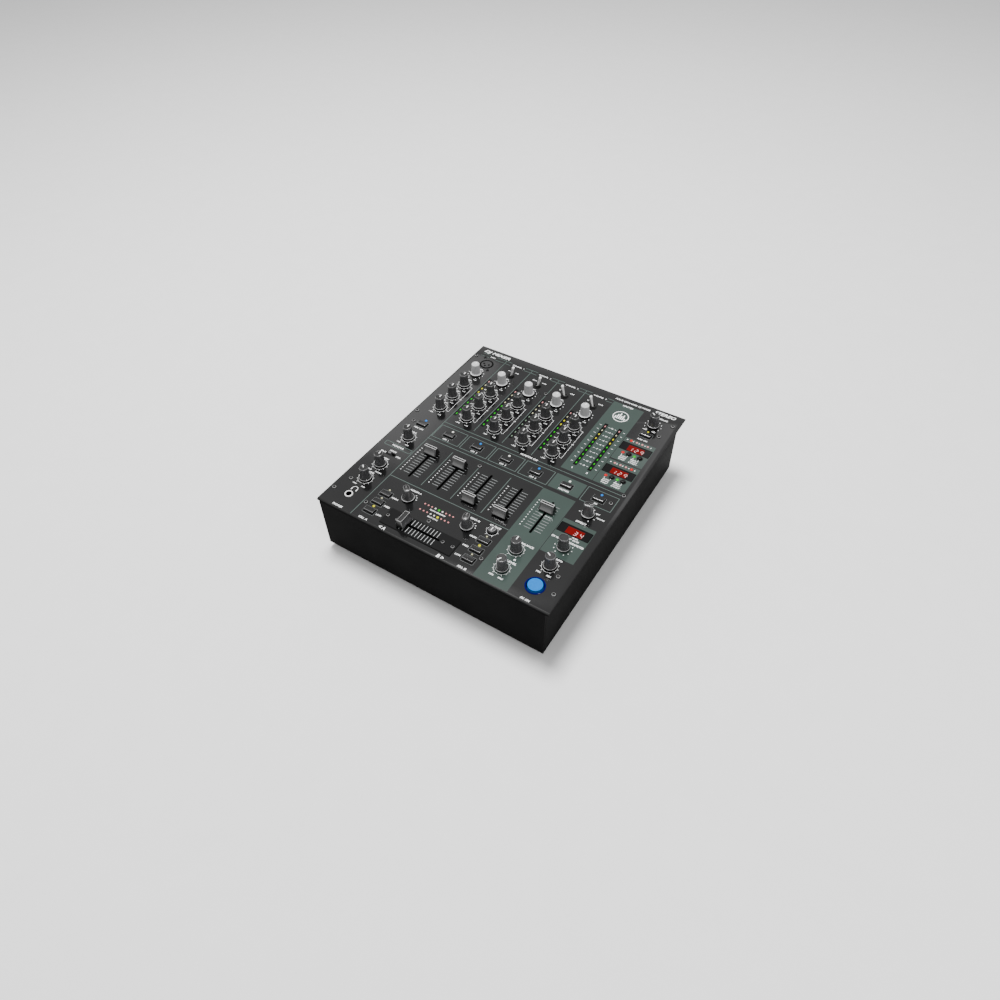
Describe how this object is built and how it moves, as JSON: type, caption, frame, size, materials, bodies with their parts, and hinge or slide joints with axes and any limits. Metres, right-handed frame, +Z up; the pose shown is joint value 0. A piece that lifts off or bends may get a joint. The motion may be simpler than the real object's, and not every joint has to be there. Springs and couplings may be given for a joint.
{
  "type": "dj mixer",
  "caption": "Club-style DJ mixer: flat steel case with rows of turning knobs, channel faders, a crossfader, toggle switches, sprung keys and rear sockets.",
  "frame": {"origin": "under the middle of the case, on the plane of the four feet's undersides", "axes": "+X to the user's right, +Y to the back where the sockets are, +Z up out of the control panel"},
  "size_m": [0.32, 0.3656, 0.1035],
  "materials": {
    "panel_paint": "satin powder coat, dark grey with grey-green printed areas",
    "case_paint": "satin powder coat, black",
    "plate_paint": "satin, darker grey",
    "circuit_board": "solder mask",
    "socket_metal": "nickel plate",
    "socket_plastic": "moulded",
    "foot_rubber": "matt",
    "knob_black": "soft-touch, fluted",
    "knob_white": "satin, fluted",
    "fader_cap": "moulded",
    "key_plastic": "satin",
    "fx_lens": "lit blue lens",
    "lever_metal": "polished nickel"
  },
  "bodies": {
    "case": {"top_panel": "panel_paint", "chassis_tray": "case_paint", "crossfader_plate": "plate_paint", "control_board": "circuit_board", "phones_jack": "socket_metal", "rear_board": "socket_plastic", "foot_front_left": "foot_rubber", "foot_front_right": "foot_rubber", "foot_rear_left": "foot_rubber", "foot_rear_right": "foot_rubber"},
    "channel_fader_1": {"channel_fader_1": "fader_cap"},
    "channel_fader_2": {"channel_fader_2": "fader_cap"},
    "channel_fader_3": {"channel_fader_3": "fader_cap"},
    "channel_fader_4": {"channel_fader_4": "fader_cap"},
    "master_fader": {"master_fader": "fader_cap"},
    "crossfader": {"crossfader": "fader_cap"},
    "input_toggle_1": {"input_toggle_1": "lever_metal"},
    "input_toggle_2": {"input_toggle_2": "lever_metal"},
    "input_toggle_3": {"input_toggle_3": "lever_metal"},
    "input_toggle_4": {"input_toggle_4": "lever_metal"},
    "row_buttons": {"row_buttons": "key_plastic"},
    "kill_buttons_a": {"kill_buttons_a": "key_plastic"},
    "kill_buttons_b": {"kill_buttons_b": "key_plastic"},
    "surround_on_button": {"surround_on_button": "key_plastic"},
    "beat_buttons": {"beat_buttons": "key_plastic"},
    "fx_on_button": {"fx_on_button": "fx_lens"},
    "phones_mode_switch": {"phones_mode_switch": "key_plastic"},
    "power_switch": {"power_switch": "key_plastic"},
    "assign_knob_a": {"assign_knob_a": "knob_black"},
    "assign_knob_b": {"assign_knob_b": "knob_black"},
    "fx_select_knob": {"fx_select_knob": "knob_black"},
    "fx_parameter_encoder": {"fx_parameter_encoder": "knob_black"},
    "surround_knob": {"surround_knob": "knob_black"},
    "fx_depth_knob": {"fx_depth_knob": "knob_black"},
    "balance_knob": {"balance_knob": "knob_black"},
    "master_level_knob": {"master_level_knob": "knob_black"},
    "talkover_knob": {"talkover_knob": "knob_black"},
    "phones_mix_knob": {"phones_mix_knob": "knob_black"},
    "phones_level_knob": {"phones_level_knob": "knob_black"},
    "crossfader_curve_knob": {"crossfader_curve_knob": "knob_black"},
    "gain_knob_mic": {"gain_knob_mic": "knob_white"},
    "eq_high_knob_mic": {"eq_high_knob_mic": "knob_black"},
    "eq_mid_knob_mic": {"eq_mid_knob_mic": "knob_black"},
    "eq_low_knob_mic": {"eq_low_knob_mic": "knob_black"},
    "gain_knob_ch1": {"gain_knob_ch1": "knob_white"},
    "eq_high_knob_ch1": {"eq_high_knob_ch1": "knob_black"},
    "eq_mid_knob_ch1": {"eq_mid_knob_ch1": "knob_black"},
    "eq_low_knob_ch1": {"eq_low_knob_ch1": "knob_black"},
    "gain_knob_ch2": {"gain_knob_ch2": "knob_white"},
    "eq_high_knob_ch2": {"eq_high_knob_ch2": "knob_black"},
    "eq_mid_knob_ch2": {"eq_mid_knob_ch2": "knob_black"},
    "eq_low_knob_ch2": {"eq_low_knob_ch2": "knob_black"},
    "gain_knob_ch3": {"gain_knob_ch3": "knob_white"},
    "eq_high_knob_ch3": {"eq_high_knob_ch3": "knob_black"},
    "eq_mid_knob_ch3": {"eq_mid_knob_ch3": "knob_black"},
    "eq_low_knob_ch3": {"eq_low_knob_ch3": "knob_black"},
    "gain_knob_ch4": {"gain_knob_ch4": "knob_white"},
    "eq_high_knob_ch4": {"eq_high_knob_ch4": "knob_black"},
    "eq_mid_knob_ch4": {"eq_mid_knob_ch4": "knob_black"},
    "eq_low_knob_ch4": {"eq_low_knob_ch4": "knob_black"}
  },
  "joints": [
    {"name": "channel_fader_1_slide", "type": "slide", "parent": "case", "child": "channel_fader_1", "axis": [0, 1, 0], "range_m": [-0.0429, 0.0016]},
    {"name": "channel_fader_2_slide", "type": "slide", "parent": "case", "child": "channel_fader_2", "axis": [0, 1, 0], "range_m": [-0.0429, 0.0016]},
    {"name": "channel_fader_3_slide", "type": "slide", "parent": "case", "child": "channel_fader_3", "axis": [0, 1, 0], "range_m": [0, 0.0445]},
    {"name": "channel_fader_4_slide", "type": "slide", "parent": "case", "child": "channel_fader_4", "axis": [0, 1, 0], "range_m": [0, 0.0445]},
    {"name": "master_fader_slide", "type": "slide", "parent": "case", "child": "master_fader", "axis": [0, 1, 0], "range_m": [-0.035, 0.0095]},
    {"name": "crossfader_slide", "type": "slide", "parent": "case", "child": "crossfader", "axis": [1, 0, 0], "range_m": [0, 0.0445]},
    {"name": "input_toggle_1_tilt", "type": "hinge", "parent": "case", "child": "input_toggle_1", "pos_m": [-0.0867, 0.142, 0.0837], "axis": [0, 1, 0], "range_deg": [-28, 0]},
    {"name": "input_toggle_2_tilt", "type": "hinge", "parent": "case", "child": "input_toggle_2", "pos_m": [-0.0433, 0.142, 0.0837], "axis": [0, 1, 0], "range_deg": [-28, 0]},
    {"name": "input_toggle_3_tilt", "type": "hinge", "parent": "case", "child": "input_toggle_3", "pos_m": [0.0001, 0.142, 0.0837], "axis": [0, 1, 0], "range_deg": [0, 28]},
    {"name": "input_toggle_4_tilt", "type": "hinge", "parent": "case", "child": "input_toggle_4", "pos_m": [0.0435, 0.142, 0.0837], "axis": [0, 1, 0], "range_deg": [0, 28]},
    {"name": "row_buttons_slide", "type": "slide", "parent": "case", "child": "row_buttons", "axis": [0, 0, -1], "range_m": [0, 0.0015], "stiffness_N_per_m": 150, "springref_m": -0.003},
    {"name": "kill_buttons_a_slide", "type": "slide", "parent": "case", "child": "kill_buttons_a", "axis": [0, 0, -1], "range_m": [0, 0.0015], "stiffness_N_per_m": 150, "springref_m": -0.003},
    {"name": "kill_buttons_b_slide", "type": "slide", "parent": "case", "child": "kill_buttons_b", "axis": [0, 0, -1], "range_m": [0, 0.0015], "stiffness_N_per_m": 150, "springref_m": -0.003},
    {"name": "surround_on_button_slide", "type": "slide", "parent": "case", "child": "surround_on_button", "axis": [0, 0, -1], "range_m": [0, 0.0015], "stiffness_N_per_m": 150, "springref_m": -0.003},
    {"name": "beat_buttons_slide", "type": "slide", "parent": "case", "child": "beat_buttons", "axis": [0, 0, -1], "range_m": [0, 0.0015], "stiffness_N_per_m": 150, "springref_m": -0.003},
    {"name": "fx_on_button_slide", "type": "slide", "parent": "case", "child": "fx_on_button", "axis": [0, 0, -1], "range_m": [0, 0.0015], "stiffness_N_per_m": 150, "springref_m": -0.003},
    {"name": "phones_mode_switch_slide", "type": "slide", "parent": "case", "child": "phones_mode_switch", "axis": [1, 0, 0], "range_m": [0, 0.004]},
    {"name": "power_switch_tip", "type": "hinge", "parent": "case", "child": "power_switch", "pos_m": [0.098, 0.1669, 0.036], "axis": [1, 0, 0], "range_deg": [-17, 0]},
    {"name": "assign_knob_a_turn", "type": "hinge", "parent": "case", "child": "assign_knob_a", "pos_m": [-0.066, -0.125, 0.0852], "axis": [0, 0, 1], "range_deg": [-120, 0]},
    {"name": "assign_knob_b_turn", "type": "hinge", "parent": "case", "child": "assign_knob_b", "pos_m": [0.0186, -0.125, 0.0852], "axis": [0, 0, 1], "range_deg": [-90, 30]},
    {"name": "fx_select_knob_turn", "type": "hinge", "parent": "case", "child": "fx_select_knob", "pos_m": [0.1288, -0.0355, 0.0852], "axis": [0, 0, 1], "range_deg": [0, 196]},
    {"name": "fx_parameter_encoder_turn", "type": "hinge", "parent": "case", "child": "fx_parameter_encoder", "pos_m": [0.1288, -0.0945, 0.0852], "axis": [0, 0, 1], "continuous": true},
    {"name": "surround_knob_turn", "type": "hinge", "parent": "case", "child": "surround_knob", "pos_m": [0.1288, 0.1485, 0.0852], "axis": [0, 0, 1], "range_deg": [-210, 90]},
    {"name": "fx_depth_knob_turn", "type": "hinge", "parent": "case", "child": "fx_depth_knob", "pos_m": [0.1288, -0.125, 0.0852], "axis": [0, 0, 1], "range_deg": [-212, 88]},
    {"name": "balance_knob_turn", "type": "hinge", "parent": "case", "child": "balance_knob", "pos_m": [0.0854, -0.125, 0.0852], "axis": [0, 0, 1], "range_deg": [-150, 150]},
    {"name": "master_level_knob_turn", "type": "hinge", "parent": "case", "child": "master_level_knob", "pos_m": [0.0854, -0.155, 0.0852], "axis": [0, 0, 1], "range_deg": [-300, 0]},
    {"name": "talkover_knob_turn", "type": "hinge", "parent": "case", "child": "talkover_knob", "pos_m": [-0.1316, -0.0375, 0.0852], "axis": [0, 0, 1], "range_deg": [-150, 150]},
    {"name": "phones_mix_knob_turn", "type": "hinge", "parent": "case", "child": "phones_mix_knob", "pos_m": [-0.1316, -0.096, 0.0852], "axis": [0, 0, 1], "range_deg": [-150, 150]},
    {"name": "phones_level_knob_turn", "type": "hinge", "parent": "case", "child": "phones_level_knob", "pos_m": [-0.1316, -0.125, 0.0852], "axis": [0, 0, 1], "range_deg": [-195, 105]},
    {"name": "crossfader_curve_knob_turn", "type": "hinge", "parent": "case", "child": "crossfader_curve_knob", "pos_m": [0.0475, -0.1155, 0.0852], "axis": [0, 0, 1], "range_deg": [-150, 150]},
    {"name": "gain_knob_mic_turn", "type": "hinge", "parent": "case", "child": "gain_knob_mic", "pos_m": [-0.1316, 0.1205, 0.0852], "axis": [0, 0, 1], "range_deg": [-150, 150]},
    {"name": "eq_high_knob_mic_turn", "type": "hinge", "parent": "case", "child": "eq_high_knob_mic", "pos_m": [-0.1316, 0.0915, 0.0852], "axis": [0, 0, 1], "range_deg": [-150, 150]},
    {"name": "eq_mid_knob_mic_turn", "type": "hinge", "parent": "case", "child": "eq_mid_knob_mic", "pos_m": [-0.1316, 0.0625, 0.0852], "axis": [0, 0, 1], "range_deg": [-150, 150]},
    {"name": "eq_low_knob_mic_turn", "type": "hinge", "parent": "case", "child": "eq_low_knob_mic", "pos_m": [-0.1316, 0.0335, 0.0852], "axis": [0, 0, 1], "range_deg": [-150, 150]},
    {"name": "gain_knob_ch1_turn", "type": "hinge", "parent": "case", "child": "gain_knob_ch1", "pos_m": [-0.0882, 0.1205, 0.0852], "axis": [0, 0, 1], "range_deg": [-150, 150]},
    {"name": "eq_high_knob_ch1_turn", "type": "hinge", "parent": "case", "child": "eq_high_knob_ch1", "pos_m": [-0.0882, 0.0915, 0.0852], "axis": [0, 0, 1], "range_deg": [-150, 150]},
    {"name": "eq_mid_knob_ch1_turn", "type": "hinge", "parent": "case", "child": "eq_mid_knob_ch1", "pos_m": [-0.0882, 0.0625, 0.0852], "axis": [0, 0, 1], "range_deg": [-150, 150]},
    {"name": "eq_low_knob_ch1_turn", "type": "hinge", "parent": "case", "child": "eq_low_knob_ch1", "pos_m": [-0.0882, 0.0335, 0.0852], "axis": [0, 0, 1], "range_deg": [-150, 150]},
    {"name": "gain_knob_ch2_turn", "type": "hinge", "parent": "case", "child": "gain_knob_ch2", "pos_m": [-0.0448, 0.1205, 0.0852], "axis": [0, 0, 1], "range_deg": [-150, 150]},
    {"name": "eq_high_knob_ch2_turn", "type": "hinge", "parent": "case", "child": "eq_high_knob_ch2", "pos_m": [-0.0448, 0.0915, 0.0852], "axis": [0, 0, 1], "range_deg": [-150, 150]},
    {"name": "eq_mid_knob_ch2_turn", "type": "hinge", "parent": "case", "child": "eq_mid_knob_ch2", "pos_m": [-0.0448, 0.0625, 0.0852], "axis": [0, 0, 1], "range_deg": [-150, 150]},
    {"name": "eq_low_knob_ch2_turn", "type": "hinge", "parent": "case", "child": "eq_low_knob_ch2", "pos_m": [-0.0448, 0.0335, 0.0852], "axis": [0, 0, 1], "range_deg": [-150, 150]},
    {"name": "gain_knob_ch3_turn", "type": "hinge", "parent": "case", "child": "gain_knob_ch3", "pos_m": [-0.0014, 0.1205, 0.0852], "axis": [0, 0, 1], "range_deg": [-150, 150]},
    {"name": "eq_high_knob_ch3_turn", "type": "hinge", "parent": "case", "child": "eq_high_knob_ch3", "pos_m": [-0.0014, 0.0915, 0.0852], "axis": [0, 0, 1], "range_deg": [-150, 150]},
    {"name": "eq_mid_knob_ch3_turn", "type": "hinge", "parent": "case", "child": "eq_mid_knob_ch3", "pos_m": [-0.0014, 0.0625, 0.0852], "axis": [0, 0, 1], "range_deg": [-150, 150]},
    {"name": "eq_low_knob_ch3_turn", "type": "hinge", "parent": "case", "child": "eq_low_knob_ch3", "pos_m": [-0.0014, 0.0335, 0.0852], "axis": [0, 0, 1], "range_deg": [-150, 150]},
    {"name": "gain_knob_ch4_turn", "type": "hinge", "parent": "case", "child": "gain_knob_ch4", "pos_m": [0.042, 0.1205, 0.0852], "axis": [0, 0, 1], "range_deg": [-150, 150]},
    {"name": "eq_high_knob_ch4_turn", "type": "hinge", "parent": "case", "child": "eq_high_knob_ch4", "pos_m": [0.042, 0.0915, 0.0852], "axis": [0, 0, 1], "range_deg": [-150, 150]},
    {"name": "eq_mid_knob_ch4_turn", "type": "hinge", "parent": "case", "child": "eq_mid_knob_ch4", "pos_m": [0.042, 0.0625, 0.0852], "axis": [0, 0, 1], "range_deg": [-150, 150]},
    {"name": "eq_low_knob_ch4_turn", "type": "hinge", "parent": "case", "child": "eq_low_knob_ch4", "pos_m": [0.042, 0.0335, 0.0852], "axis": [0, 0, 1], "range_deg": [-150, 150]}
  ]
}
